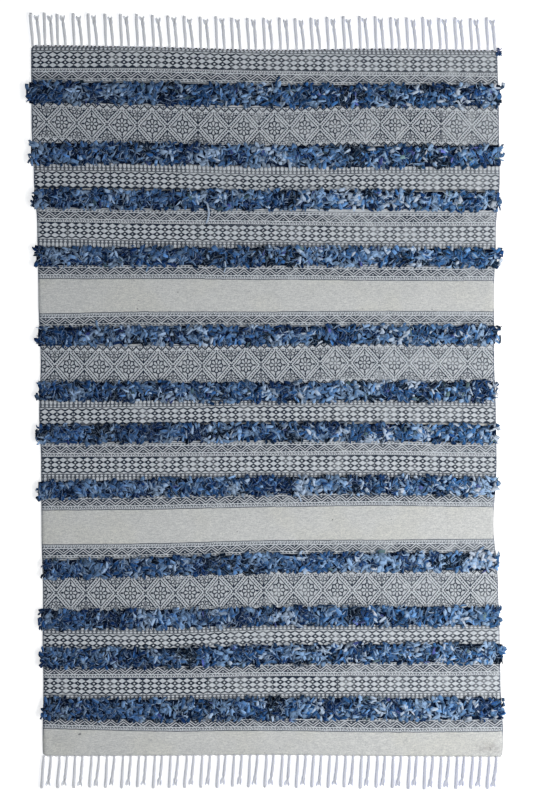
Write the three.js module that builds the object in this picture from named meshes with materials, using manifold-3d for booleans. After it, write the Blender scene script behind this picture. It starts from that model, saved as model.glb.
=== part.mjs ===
// Shag rug: one flat-woven cotton cloth, about 1.2 m by 1.84 m, crossed by twelve rows of denim
// clippings, with the warp ends twisted into a fringe at both ends. It lies flat on the floor.
// Millimetres, +Z up. X runs across the rug and Y along it, towards the top end. The origin is on
// the floor under the middle of the rug.

import * as THREE from "three";
import { mergeVertices } from "three/addons/utils/BufferGeometryUtils.js";
import Module from "manifold-3d";

const wasm = await Module();
wasm.setup();

// Driving sizes
const CLOTH_THICKNESS = 4;
const SHAG_HEIGHT = 14;
const CLEARANCE = 0.3;
const HEADING_WIDTH = 3;
const TASSEL_LENGTH = 83;

// The cloth is hand woven, so no line on it is quite straight. A row's y is read at five even
// stations from the left selvedge to the right one.
const TOP_END = [925, 921, 913, 916, 912];
const BOTTOM_END = [-925, -924, -922, -925, -927];

// The shag rows, from the top end down. left and right are how far the clippings reach.
const SHAG_ROWS = [
  { y: [800, 796, 790, 791, 793], depth: 59, left: -624, right: 619 },
  { y: [640, 641, 635, 632, 635], depth: 54, left: -619, right: 619 },
  { y: [526, 523, 522, 522, 518], depth: 53, left: -611, right: 611 },
  { y: [374, 375, 375, 375, 371], depth: 51, left: -605, right: 615 },
  { y: [167, 169, 170, 171, 171], depth: 51, left: -600, right: 611 },
  { y: [22, 22, 22, 25, 23], depth: 52, left: -598, right: 605 },
  { y: [-87, -84, -81, -82, -87], depth: 50, left: -598, right: 606 },
  { y: [-232, -226, -220, -219, -223], depth: 48, left: -600, right: 608 },
  { y: [-438, -431, -422, -419, -418], depth: 51, left: -586, right: 607 },
  { y: [-570, -568, -562, -562, -560], depth: 51, left: -593, right: 612 },
  { y: [-669, -670, -662, -659, -657], depth: 51, left: -590, right: 624 },
  { y: [-800, -804, -800, -800, -802], depth: 56, left: -585, right: 621 },
];

// The selvedges draw in between the shag rows: their places down the rug, from the top end.
const SELVEDGES = [
  { y: 918, left: -611, right: 602 },
  { y: 714, left: -610, right: 603 },
  { y: 579, left: -604, right: 606 },
  { y: 444, left: -595, right: 595 },
  { y: 272, left: -592, right: 589 },
  { y: 96, left: -586, right: 590 },
  { y: -29, left: -590, right: 595 },
  { y: -154, left: -585, right: 598 },
  { y: -320, left: -584, right: 589 },
  { y: -492, left: -580, right: 602 },
  { y: -617, left: -581, right: 608 },
  { y: -729, left: -579, right: 610 },
  { y: -870, left: -581, right: 615 },
  { y: -925, left: -579, right: 608 },
];

// Soft ridges in the cloth: where each runs, how high it stands and how far it spreads.
const RIDGES = [
  { from: [-520, -878], to: [-300, -900], height: 3, spread: 34 },
  { from: [500, -868], to: [592, -890], height: 3.5, spread: 30 },
  { from: [-470, 276], to: [560, 262], height: 1.6, spread: 60 },
  { from: [-540, -322], to: [540, -312], height: 1.6, spread: 60 },
];

// A line through a row's stations, read at t from 0 at the left selvedge to 1 at the right.
function across(stations, t) {
  const points = stations.map((y, i) => new THREE.Vector2(i / (stations.length - 1), y));
  return new THREE.SplineCurve(points).getPoint(THREE.MathUtils.clamp(t, 0, 1)).y;
}

// The value of a table's column at a height up the rug, joined by straight steps.
function down(table, column, y) {
  if (y >= table[0].y) return table[0][column];
  for (let i = 1; i < table.length; i++) {
    const above = table[i - 1];
    const below = table[i];
    if (y >= below.y) {
      const t = (above.y - y) / (above.y - below.y);
      const eased = THREE.MathUtils.smoothstep(t, 0, 1);
      return THREE.MathUtils.lerp(above[column], below[column], eased);
    }
  }
  return table[table.length - 1][column];
}

// The rug's lines that are known all the way across, and how each strays from its middle.
const MIDDLE = 2;
const LINES = [TOP_END, ...SHAG_ROWS.map((row) => row.y), BOTTOM_END];

function stray(t, y) {
  const i = Math.max(1, LINES.findIndex((line) => y >= line[MIDDLE]));
  const [above, below] = [LINES[i - 1], LINES[i]];
  const share = (above[MIDDLE] - y) / (above[MIDDLE] - below[MIDDLE]);
  const strayOf = (line) => across(line, t) - line[MIDDLE];
  return THREE.MathUtils.lerp(strayOf(above), strayOf(below), share);
}

// A point of the cloth: t across it, and y up its middle.
function onCloth(t, y) {
  const x = THREE.MathUtils.lerp(down(SELVEDGES, "left", y), down(SELVEDGES, "right", y), t);
  return [x, y + stray(t, y)];
}

// How high the ridges lift the cloth at a place.
function lift(x, y) {
  let height = 0;
  for (const ridge of RIDGES) {
    const from = new THREE.Vector3(...ridge.from, 0);
    const line = new THREE.Line3(from, new THREE.Vector3(...ridge.to, 0));
    const here = new THREE.Vector3(x, y, 0);
    const away = line.closestPointToPoint(here, true, new THREE.Vector3()).distanceTo(here);
    height += ridge.height * (1 - THREE.MathUtils.smoothstep(away, 0, ridge.spread));
  }
  return height;
}

function geometryOf(position, index) {
  const geometry = new THREE.BufferGeometry();
  geometry.setAttribute("position", new THREE.Float32BufferAttribute(position, 3));
  geometry.setIndex(index);
  return geometry;
}

// A closed skin over a line of flat rings, with a fan over each end.
function loft(rings) {
  const count = rings[0].length;
  const index = [];
  for (let i = 0; i < rings.length - 1; i++) {
    for (let j = 0; j < count; j++) {
      const a = i * count + j;
      const b = i * count + ((j + 1) % count);
      index.push(a, b, a + count, b, b + count, a + count);
    }
  }
  const last = (rings.length - 1) * count;
  for (let j = 1; j < count - 1; j++) {
    index.push(0, j + 1, j, last, last + j, last + j + 1);
  }
  return geometryOf(rings.flat(2), index);
}

function solidOf(geometry) {
  const bare = geometry.clone().deleteAttribute("normal").deleteAttribute("uv");
  const merged = mergeVertices(bare, 1e-3);
  return new wasm.Manifold(
    new wasm.Mesh({
      numProp: 3,
      vertProperties: merged.attributes.position.array,
      triVerts: new Uint32Array(merged.index.array),
    }),
  );
}

function joined(geometries) {
  const whole = geometries.map(solidOf).reduce((sum, next) => sum.add(next));
  const mesh = whole.getMesh();
  return geometryOf(mesh.vertProperties, Array.from(mesh.triVerts));
}

// Ground cloth: one woven sheet, flat underneath, its top lifted a little by the ridges. Its ends
// stop short of the fringe's headings.
const CLOTH_COLUMNS = 18;
const CLOTH_MARGIN = 16;

// The heights up the rug at which the sheet has points: both sides of each shag row, the middle of
// each band between two rows, and the ends.
function clothLines() {
  const top = TOP_END[MIDDLE] - HEADING_WIDTH - CLEARANCE;
  const bottom = BOTTOM_END[MIDDLE] + HEADING_WIDTH + CLEARANCE;
  const lines = [top];
  for (const row of SHAG_ROWS) {
    const reach = row.depth / 2 + CLOTH_MARGIN;
    const upper = row.y[MIDDLE] + reach;
    lines.push((lines[lines.length - 1] + upper) / 2, upper, row.y[MIDDLE] - reach);
  }
  const last = lines[lines.length - 1];
  const hem = [0.3, 0.65, 1].map((share) => THREE.MathUtils.lerp(last, bottom, share));
  return [...lines, ...hem];
}

function groundCloth() {
  const lines = clothLines();
  const width = CLOTH_COLUMNS + 1;
  const position = [];
  const index = [];
  lines.forEach((y, i) => {
    for (let j = 0; j < width; j++) {
      const [x, bentY] = onCloth(j / CLOTH_COLUMNS, y);
      const edge = i === 0 || i === lines.length - 1 || j === 0 || j === CLOTH_COLUMNS;
      const height = edge ? 0 : lift(x, bentY);
      position.push(x, bentY, CLOTH_THICKNESS + height);
    }
  });
  for (let i = 0; i < lines.length - 1; i++) {
    for (let j = 0; j < CLOTH_COLUMNS; j++) {
      const a = i * width + j;
      index.push(a, a + width, a + 1, a + 1, a + width, a + width + 1);
    }
  }
  // The rim, left side down, bottom end, right side up, top end back.
  const lastRow = (lines.length - 1) * width;
  const rim = [];
  for (let i = 0; i < lines.length - 1; i++) rim.push(i * width);
  for (let j = 0; j < CLOTH_COLUMNS; j++) rim.push(lastRow + j);
  for (let i = lines.length - 1; i > 0; i--) rim.push(i * width + CLOTH_COLUMNS);
  for (let j = CLOTH_COLUMNS; j > 0; j--) rim.push(j);

  const floor = position.length / 3;
  for (const i of rim) position.push(position[3 * i], position[3 * i + 1], 0);
  rim.forEach((top, i) => {
    const next = (i + 1) % rim.length;
    index.push(top, floor + i, rim[next], rim[next], floor + i, floor + next);
  });
  const outline = rim.map((i) => new THREE.Vector2(position[3 * i], position[3 * i + 1]));
  for (const [a, b, c] of THREE.ShapeUtils.triangulateShape(outline, [])) {
    index.push(floor + a, floor + c, floor + b);
  }
  return geometryOf(position, index);
}

// Shag row: a lumpy bank of denim clippings on the cloth, with locks that stand out at its rim.
const ROW_FLOOR = CLOTH_THICKNESS + CLEARANCE;
const ROW_STATIONS = 27;
const ROW_END = 16;
const LOCKS_A_ROW = 15;
const LOCK_SIDES = 4;

// Half of a bank's section: how far out, as a share of the half depth, and how high.
const SECTION = [
  { out: 0.86, high: 0 },
  { out: 1, high: 0.4 },
  { out: 0.68, high: 0.88 },
  { out: 0.02, high: 1 },
  { out: -0.66, high: 0.9 },
  { out: -1, high: 0.42 },
  { out: -0.86, high: 0 },
];

function between(low, high) {
  return THREE.MathUtils.lerp(low, high, THREE.MathUtils.seededRandom());
}

// The row's middle at a place across the rug.
function rowMiddle(row, x) {
  const y = row.y[MIDDLE];
  const left = down(SELVEDGES, "left", y);
  return across(row.y, (x - left) / (down(SELVEDGES, "right", y) - left));
}

function bank(row) {
  const inner = Array.from({ length: ROW_STATIONS }, (_, i) =>
    THREE.MathUtils.lerp(row.left + ROW_END, row.right - ROW_END, i / (ROW_STATIONS - 1)),
  );
  const stations = [row.left + 3, ...inner, row.right - 3];
  return loft(
    stations.map((x, i) => {
      const end = i === 0 || i === stations.length - 1;
      const half = (row.depth / 2) * (end ? 0.6 : between(0.85, 1.07));
      const height = SHAG_HEIGHT * (end ? 0.6 : between(0.8, 1.14));
      const middle = rowMiddle(row, x);
      return SECTION.map(({ out, high }) => [
        x,
        middle + out * half + (high ? between(-1.5, 1.5) : 0),
        ROW_FLOOR + high * height * between(0.9, 1.1),
      ]);
    }),
  );
}

// A lock: a flat, four-sided, tapered tuft from inside the bank to past its rim.
function lock(root, tip, width) {
  const along = new THREE.Vector3().subVectors(tip, root);
  const geometry = new THREE.CylinderGeometry(0.5, 1, 1, LOCK_SIDES);
  geometry.rotateY(Math.PI / LOCK_SIDES);
  geometry.scale(width / Math.SQRT2, along.length(), 3);
  geometry.rotateX(Math.atan2(along.z, Math.hypot(along.x, along.y)));
  geometry.rotateZ(Math.atan2(along.y, along.x) - Math.PI / 2);
  return geometry.translate(...new THREE.Vector3().addVectors(root, tip).multiplyScalar(0.5));
}

// The locks stand out in turn at the upper side, the lower side and the two ends.
function rimLocks(row) {
  return Array.from({ length: LOCKS_A_ROW }, (_, i) => {
    const end = i >= LOCKS_A_ROW - 2;
    const side = i % 2 ? 1 : -1;
    const high = ROW_FLOOR + 5;
    if (end) {
      const rim = side > 0 ? row.right - 1 : row.left + 1;
      const y = rowMiddle(row, rim) + between(-8, 8);
      const root = new THREE.Vector3(rim - side * 14, y, high);
      return lock(root, new THREE.Vector3(rim, y + between(-6, 6), high), 9);
    }
    const x = THREE.MathUtils.lerp(row.left, row.right, (i + between(0.3, 0.7)) / (LOCKS_A_ROW - 2));
    const middle = rowMiddle(row, x);
    const root = new THREE.Vector3(x, middle + side * row.depth * 0.3, high);
    const reach = row.depth / 2 + between(6, 12);
    const tip = new THREE.Vector3(x + between(-8, 8), middle + side * reach, ROW_FLOOR + 3);
    return lock(root, tip, between(8, 12));
  });
}

// Fringe: a narrow heading along the cloth's end, and twisted tassels that lie on the floor. They
// come in pairs, a plain one and one whose end is parted and lies wider. The pairs are evenly
// spaced, but for a few at the top left corner that are crowded together.
const FRINGES = [
  { name: "fringe_top", end: TOP_END, out: 1 },
  { name: "fringe_bottom", end: BOTTOM_END, out: -1 },
];
const PAIR_RUNS = [
  { fringe: "fringe_top", pairs: 3, from: -608, to: -540 },
  { fringe: "fringe_top", pairs: 27, from: -499, to: 577 },
  { fringe: "fringe_bottom", pairs: 29, from: -578, to: 580 },
];
const PAIR_SPACE = 19;
const TASSELS = [
  { name: "plain", shorter: 0, lean: -4, tipWidth: 9 },
  { name: "parted", shorter: 5, lean: -6, tipWidth: 15 },
];
const TASSEL_ROOT = { wide: 6, high: 4.4 };
const TASSEL_BODY = { wide: 9, high: 7 };
const TASSEL_TIP_HEIGHT = 5;

function clothEnd(end, x) {
  const left = down(SELVEDGES, "left", end[MIDDLE]);
  return across(end, (x - left) / (down(SELVEDGES, "right", end[MIDDLE]) - left));
}

function tassel(kind, x, end, out) {
  const start = clothEnd(end, x) - out * (HEADING_WIDTH - 1);
  const length = TASSEL_LENGTH - kind.shorter + HEADING_WIDTH - 1 + between(-2, 2);
  const rings = [
    { at: 0, ...TASSEL_ROOT },
    { at: 0.5, ...TASSEL_BODY },
    { at: 1, wide: kind.tipWidth, high: TASSEL_TIP_HEIGHT },
  ];
  return loft(
    rings.map(({ at, wide, high }) => {
      const middle = x + kind.lean * at;
      const y = start + out * length * at;
      return [
        [middle - (out * wide) / 2, y, 0],
        [middle - (out * wide) / 4, y, high],
        [middle + (out * wide) / 4, y, high],
        [middle + (out * wide) / 2, y, 0],
      ];
    }),
  );
}

function heading(end, out) {
  const stations = Array.from({ length: CLOTH_COLUMNS + 1 }, (_, i) => i / CLOTH_COLUMNS);
  return loft(
    stations.map((t) => {
      const [x, edge] = onCloth(t, end[MIDDLE]);
      const inner = edge - out * HEADING_WIDTH;
      const [low, high] = out > 0 ? [inner, edge] : [edge, inner];
      return [
        [x, high, 0],
        [x, high, CLOTH_THICKNESS],
        [x, low, CLOTH_THICKNESS],
        [x, low, 0],
      ];
    }),
  );
}

function fringe({ name, end, out }) {
  const tassels = [];
  for (const { pairs, from, to } of PAIR_RUNS.filter((run) => run.fringe === name)) {
    for (let i = 0; i < pairs; i++) {
      const x = THREE.MathUtils.lerp(from, to, i / (pairs - 1)) + between(-1, 1);
      TASSELS.forEach((kind, k) => tassels.push(tassel(kind, x + k * PAIR_SPACE, end, out)));
    }
  }
  return joined([heading(end, out), ...tassels]);
}

// Materials
const COTTON = { color: 0xc4c7c8, roughness: 0.95, metalness: 0 };
const DENIM = { color: 0x42587a, roughness: 0.95, metalness: 0 };
const TWISTED_COTTON = { color: 0xdcdee5, roughness: 0.95, metalness: 0 };

const rug = new THREE.Group();

function place(name, geometry, look) {
  const mesh = new THREE.Mesh(geometry, new THREE.MeshStandardMaterial(look));
  mesh.name = name;
  rug.add(mesh);
}

THREE.MathUtils.seededRandom(7);
place("ground_cloth", groundCloth(), COTTON);
SHAG_ROWS.forEach((row, i) => {
  const name = `shag_row_${String(i + 1).padStart(2, "0")}`;
  place(name, joined([bank(row), ...rimLocks(row)]), DENIM);
});
for (const end of FRINGES) {
  place(end.name, fringe(end), TWISTED_COTTON);
}

export default rug;
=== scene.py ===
import math

import bpy
import numpy as np
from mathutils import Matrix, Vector


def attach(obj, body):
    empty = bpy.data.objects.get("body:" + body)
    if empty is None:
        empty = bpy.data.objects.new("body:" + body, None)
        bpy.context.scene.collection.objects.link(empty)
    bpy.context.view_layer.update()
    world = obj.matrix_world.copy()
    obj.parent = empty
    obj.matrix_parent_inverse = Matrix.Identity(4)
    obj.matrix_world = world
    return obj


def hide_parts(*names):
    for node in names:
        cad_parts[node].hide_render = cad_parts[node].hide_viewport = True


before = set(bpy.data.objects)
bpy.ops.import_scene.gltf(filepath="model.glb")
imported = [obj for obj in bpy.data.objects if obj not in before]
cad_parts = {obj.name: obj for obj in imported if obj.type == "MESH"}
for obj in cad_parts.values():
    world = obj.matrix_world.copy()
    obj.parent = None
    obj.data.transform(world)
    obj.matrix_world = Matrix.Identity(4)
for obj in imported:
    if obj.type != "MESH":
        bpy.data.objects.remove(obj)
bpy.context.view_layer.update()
MM = 0.001

# Camera: it looks straight down on the rug from high above, with the rug's top end at the top of
# the picture. The picture takes in 2.08 m of the rug from top to bottom, at its pile's level.
CAMERA_HEIGHT = 5.0
PICTURE_HEIGHT = 2.08
PICTURE_CENTRE = (0.0013, 0.0020)
PILE_LEVEL = 0.006
camera_data = bpy.data.cameras.new("overhead_camera")
camera_data.lens = camera_data.sensor_width * CAMERA_HEIGHT / PICTURE_HEIGHT
camera = bpy.data.objects.new("overhead_camera", camera_data)
camera.location = (*PICTURE_CENTRE, CAMERA_HEIGHT + PILE_LEVEL)
bpy.context.collection.objects.link(camera)
bpy.context.scene.camera = camera

# Studio: a white floor that glows a little, so that it stays white all over. The key light is a
# long soft one beyond the rug's right side. A weaker one fills in from above, and one stands low
# beyond the top left corner, so that the tassels there don't turn dark.
FLOOR_REACH = 9.0
FLOOR_LEVEL = -0.0008
floor_corners = ((-1, -1), (1, -1), (1, 1), (-1, 1))
floor_points = [(x * FLOOR_REACH, y * FLOOR_REACH, FLOOR_LEVEL) for x, y in floor_corners]
floor_mesh = bpy.data.meshes.new("studio_floor")
floor_mesh.from_pydata(floor_points, [], [(0, 1, 2, 3)])
floor = bpy.data.objects.new("studio_floor", floor_mesh)
bpy.context.collection.objects.link(floor)
white_floor = bpy.data.materials.new("white_floor")
white_floor.use_nodes = True
floor_shader = white_floor.node_tree.nodes["Principled BSDF"]
floor_shader.inputs["Base Color"].default_value = (0.9, 0.9, 0.9, 1)
floor_shader.inputs["Roughness"].default_value = 0.9
floor_shader.inputs["Emission Color"].default_value = (1, 1, 1, 1)
floor_shader.inputs["Emission Strength"].default_value = 0.55
floor_mesh.materials.append(white_floor)

STUDIO_LIGHTS = [
    {
        "name": "key_light",
        "at": (2.0, -0.8, 2.0),
        "size": (4.5, 1.0),
        "power": 94,
        "colour": (1.0, 0.985, 0.96),
    },
    {
        "name": "top_light",
        "at": (-0.3, 0.0, 3.2),
        "size": (2.4, 2.4),
        "power": 24,
        "colour": (0.97, 0.985, 1.0),
    },
    {
        "name": "corner_light",
        "at": (-2.3, 2.0, 0.35),
        "size": (1.2, 0.5),
        "power": 10,
        "colour": (0.86, 0.92, 1.0),
    },
]
for light in STUDIO_LIGHTS:
    lamp = bpy.data.lights.new(light["name"], "AREA")
    lamp.shape = "RECTANGLE"
    lamp.size, lamp.size_y = light["size"]
    lamp.energy = light["power"]
    lamp.color = light["colour"]
    stand = bpy.data.objects.new(light["name"], lamp)
    stand.location = light["at"]
    stand.rotation_euler = (-Vector(light["at"])).to_track_quat("-Z", "Y").to_euler()
    bpy.context.collection.objects.link(stand)
world = bpy.data.worlds.new("studio_air")
world.use_nodes = True
world.node_tree.nodes["Background"].inputs["Color"].default_value = (0.86, 0.93, 1.0, 1)
world.node_tree.nodes["Background"].inputs["Strength"].default_value = 0.1
bpy.context.scene.world = world
bpy.context.scene.view_settings.view_transform = "Standard"

# Ground cloth: one flat-woven cotton sheet. It is hand woven, so its ends, its selvedges and every
# line on it wander a little. The lines that cross it are known at five even stations, from the left
# selvedge to the right one, in millimetres up the rug.
CLOTH_THICKNESS = 4
HEADING_WIDTH = 3
CLEARANCE = 0.3
TOP_END = [925, 921, 913, 916, 912]
BOTTOM_END = [-925, -924, -922, -925, -927]
SHAG_ROWS = [
    {"y": [801, 799, 793, 793, 794], "depth": 62, "left": -624, "right": 619},
    {"y": [642, 643, 636, 634, 637], "depth": 60, "left": -619, "right": 619},
    {"y": [526, 523, 522, 522, 518], "depth": 53, "left": -611, "right": 611},
    {"y": [374, 375, 375, 375, 371], "depth": 51, "left": -605, "right": 615},
    {"y": [167, 169, 170, 171, 171], "depth": 51, "left": -600, "right": 611},
    {"y": [25, 24, 22, 25, 23], "depth": 53, "left": -598, "right": 605},
    {"y": [-87, -84, -81, -82, -87], "depth": 50, "left": -598, "right": 606},
    {"y": [-232, -226, -220, -219, -223], "depth": 48, "left": -600, "right": 608},
    {"y": [-438, -431, -422, -419, -418], "depth": 51, "left": -586, "right": 607},
    {"y": [-569, -567, -561, -560, -560], "depth": 52, "left": -593, "right": 612},
    {"y": [-668, -668, -660, -657, -656], "depth": 54, "left": -590, "right": 624},
    {"y": [-800, -804, -800, -800, -802], "depth": 60, "left": -585, "right": 621},
]
SELVEDGES = [
    {"y": 918, "left": -611, "right": 602},
    {"y": 714, "left": -610, "right": 606},
    {"y": 579, "left": -604, "right": 608},
    {"y": 444, "left": -595, "right": 598},
    {"y": 272, "left": -592, "right": 593},
    {"y": 96, "left": -586, "right": 594},
    {"y": -29, "left": -590, "right": 598},
    {"y": -154, "left": -585, "right": 600},
    {"y": -320, "left": -584, "right": 592},
    {"y": -492, "left": -580, "right": 604},
    {"y": -617, "left": -581, "right": 608},
    {"y": -729, "left": -579, "right": 610},
    {"y": -870, "left": -581, "right": 617},
    {"y": -925, "left": -580, "right": 615},
]
RIDGES = [
    {"start": (-520, -878), "end": (-300, -900), "height": 3.0, "spread": 34},
    {"start": (500, -868), "end": (592, -890), "height": 3.5, "spread": 30},
    {"start": (-470, 276), "end": (560, 262), "height": 1.6, "spread": 60},
    {"start": (-540, -322), "end": (540, -312), "height": 1.6, "spread": 60},
]
CLOTH_WIDTH = 1200

# The printed bands, from the top end down. Each is a row of stamps of one wooden block, which stand
# on a foot line (on a centre line for the medallions) and face up or down the rug. One stamp
# starts at the start, in millimetres from the middle.
PRINTED_BANDS = [
    {"block": "lozenge", "top": 930, "bottom": 859, "faces": 1, "start": -85.4},
    {"block": "zigzag", "top": 859, "bottom": 819, "faces": -1, "start": 31.5},
    {"block": "medallion", "top": 766, "bottom": 652, "faces": 1, "start": -16.4},
    {"block": "lozenge", "top": 614, "bottom": 540, "faces": 1, "start": -61.3},
    {"block": "zigzag", "top": 498, "bottom": 457.4, "faces": 1, "start": 9.7},
    {"block": "lozenge", "top": 457.4, "bottom": 392, "faces": -1, "start": -9.3},
    {"block": "zigzag", "top": 356, "bottom": 308, "faces": 1, "start": 8.7},
    {"block": "zigzag", "top": 240, "bottom": 190, "faces": -1, "start": 29.7},
    {"block": "medallion", "top": 149, "bottom": 38, "faces": 1, "start": -17},
    {"block": "lozenge", "top": 4, "bottom": -64, "faces": 1, "start": 1.4},
    {"block": "zigzag", "top": -102, "bottom": -143, "faces": 1, "start": 10.7},
    {"block": "lozenge", "top": -143, "bottom": -204, "faces": -1, "start": 108.4},
    {"block": "zigzag", "top": -236, "bottom": -284, "faces": 1, "start": 21.3},
    {"block": "zigzag", "top": -351, "bottom": -403, "faces": -1, "start": 0.8},
    {"block": "medallion", "top": -437, "bottom": -547, "faces": 1, "start": -18.7},
    {"block": "lozenge", "top": -577, "bottom": -648, "faces": 1, "start": 9.2},
    {"block": "zigzag", "top": -680, "bottom": -717, "faces": 1, "start": 6.7},
    {"block": "lozenge", "top": -717, "bottom": -782, "faces": -1, "start": 1.8},
    {"block": "zigzag", "top": -818, "bottom": -868, "faces": 1, "start": 18.9},
]
FOOT_LINES = [
    [866, 866, 859, 856, 854],
    [866, 866, 859, 856, 854],
    [727, 714.5, 707.5, 717, 710],
    [555, 551.5, 543.8, 547.5, 545.4],
    [465.5, 460, 457.4, 453.6, 454.6],
    [465.5, 460, 457.4, 453.6, 454.6],
    [318.3, 317.5, 316, 314, 312.5],
    [226.5, 231, 230.8, 232.5, 231],
    [89.5, 88, 93.5, 99, 95],
    [-62.8, -60.0, -56.2, -55.8, -58.4],
    [-146.4, -145.5, -143, -141.3, -145.6],
    [-146.4, -145.5, -143, -141.3, -145.6],
    [-284, -282, -276, -272, -276],
    [-374.3, -371, -363.5, -362.8, -360.5],
    [-499, -500, -493, -492, -492.5],
    [-649.7, -650.6, -640.5, -639.5, -637.6],
    [-721.5, -721, -717, -715.5, -714.7],
    [-721.5, -721, -717, -715.5, -714.7],
    [-852.5, -858.5, -857.5, -862, -859],
]


def across(stations, t):
    """A line's height up the rug, at t from 0 at the left selvedge to 1 at the right."""
    points = np.array([stations[0], *stations, stations[-1]], float)
    place = np.clip(t, 0, 1) * (len(stations) - 1)
    i = np.minimum(place.astype(int), len(stations) - 2)
    w = place - i
    before, start, end, after = points[i], points[i + 1], points[i + 2], points[i + 3]
    leave, arrive = (end - before) / 2, (after - start) / 2
    return (
        (2 * start - 2 * end + leave + arrive) * w**3
        + (3 * end - 3 * start - 2 * leave - arrive) * w**2
        + leave * w
        + start
    )


def eased(w):
    w = np.clip(w, 0, 1)
    return w * w * (3 - 2 * w)


def selvedge(side, y):
    """Where the left or right selvedge runs, y up the rug."""
    heights = np.array([row["y"] for row in SELVEDGES], float)
    places = np.array([row[side] for row in SELVEDGES], float)
    i = np.clip(np.searchsorted(-heights, -y), 1, len(heights) - 1)
    w = eased((heights[i - 1] - y) / (heights[i - 1] - heights[i]))
    return places[i - 1] + (places[i] - places[i - 1]) * w


# Two bands that stand foot to foot share their foot line.
SHARED_FEET = [foot for foot, next_foot in zip(FOOT_LINES, FOOT_LINES[1:]) if foot == next_foot]
CROSS_LINES = [TOP_END, *[row["y"] for row in SHAG_ROWS], *SHARED_FEET, BOTTOM_END]
CROSS_LINES.sort(key=lambda line: -line[2])


def on_cloth(t, y):
    """The place of a point of the cloth: t across it, and y up its middle."""
    t, y = np.broadcast_arrays(np.asarray(t, float), np.asarray(y, float))
    middles = np.array([line[2] for line in CROSS_LINES], float)
    strays = np.array([across(line, t) - line[2] for line in CROSS_LINES])
    i = np.clip(np.searchsorted(-middles, -y), 1, len(middles) - 1)
    w = (middles[i - 1] - y) / (middles[i - 1] - middles[i])
    upper = np.take_along_axis(strays, (i - 1)[None], 0)[0]
    lower = np.take_along_axis(strays, i[None], 0)[0]
    left, right = selvedge("left", y), selvedge("right", y)
    return left + (right - left) * t, y + upper + (lower - upper) * w


def lift(x, y):
    """How high the soft ridges raise the cloth at a place."""
    height = np.zeros_like(x)
    for ridge in RIDGES:
        start, end = np.array(ridge["start"], float), np.array(ridge["end"], float)
        run = end - start
        along = np.clip(((x - start[0]) * run[0] + (y - start[1]) * run[1]) / (run @ run), 0, 1)
        away = np.hypot(x - start[0] - run[0] * along, y - start[1] - run[1] * along)
        height += ridge["height"] * (1 - eased(away / ridge["spread"]))
    return height


CLOTH_FINISHES = ["plain", "lozenge", "zigzag", "medallion"]
CLOTH_COLUMNS = 120
LINE_SPACING = 8.0
ROUND_CORNER = 6.0
CORNER_STEPS = (0, 1, 3, 6)
EDGE_DROP = 0.9
EDGE_BULGE = 0.7
RIPPLES = 14
RIPPLE_SIZES = (70, 260)
RIPPLE_HEIGHT = 0.12
STAMPS_A_BAND = 20


def cloth_lines():
    """Heights up the rug's middle where the sheet has points, from the top end down."""
    top = TOP_END[2] - HEADING_WIDTH - CLEARANCE
    bottom = BOTTOM_END[2] + HEADING_WIDTH + CLEARANCE
    edges = {band[side] for band in PRINTED_BANDS for side in ("top", "bottom")}
    inside = {edge for edge in edges if bottom + LINE_SPACING < edge < top - LINE_SPACING}
    near_ends = {top - step for step in CORNER_STEPS} | {bottom + step for step in CORNER_STEPS}
    stops = sorted(inside | near_ends, reverse=True)
    lines = [stops[0]]
    for upper, lower in zip(stops, stops[1:]):
        steps = max(1, round((upper - lower) / LINE_SPACING))
        lines += [upper + (lower - upper) * k / steps for k in range(1, steps + 1)]
    return np.array(lines)


def band_at(y):
    """The number of the printed band at a height up the rug's middle, or None on plain cloth."""
    for n, band in enumerate(PRINTED_BANDS):
        if band["bottom"] <= y <= band["top"]:
            return n
    return None


lines = cloth_lines()
columns = np.linspace(0, 1, CLOTH_COLUMNS + 1)
t_grid, y_grid = np.meshgrid(columns, lines)
cloth_x, cloth_y = on_cloth(t_grid, y_grid)
end_gap = np.minimum(lines[0] - lines, lines - lines[-1])[:, None]
corner = ROUND_CORNER - np.sqrt(ROUND_CORNER**2 - np.clip(ROUND_CORNER - end_gap, 0, ROUND_CORNER) ** 2)
cloth_x = cloth_x + corner * (1 - 2 * t_grid)
draw = np.random.default_rng(11)
ripple = np.zeros_like(cloth_x)
for _ in range(RIPPLES):
    size = draw.uniform(*RIPPLE_SIZES)
    turn = draw.uniform(0, math.tau)
    phase = draw.uniform(0, math.tau)
    way = cloth_x * math.cos(turn) + cloth_y * math.sin(turn)
    ripple += RIPPLE_HEIGHT * np.sin(way * math.tau / size + phase)
rise = lift(cloth_x, cloth_y) + np.clip(ripple, -0.35, 0.6)
inner = np.ones_like(cloth_x)
inner[[0, -1], :] = 0
inner[:, [0, -1]] = 0
cloth_z = (CLOTH_THICKNESS + rise) * inner + (CLOTH_THICKNESS - EDGE_DROP) * (1 - inner)

rows, wide = cloth_x.shape
number = np.arange(rows * wide).reshape(rows, wide)
rim = np.concatenate([number[:-1, 0], number[-1, :-1], number[:0:-1, -1], number[0, :0:-1]])
top_points = np.stack([cloth_x, cloth_y, cloth_z], -1).reshape(-1, 3)
under_points = top_points * (1, 1, 0)
outward = np.zeros((rows, wide, 3))
outward[:, 0, 0], outward[:, -1, 0] = -1, 1
outward[0, :, 1], outward[-1, :, 1] = 1, -1
edge_points = under_points[rim] + (0, 0, CLOTH_THICKNESS / 2) + EDGE_BULGE * outward.reshape(-1, 3)[rim]
cloth_points = np.concatenate([top_points, under_points, edge_points]) * MM

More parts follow.
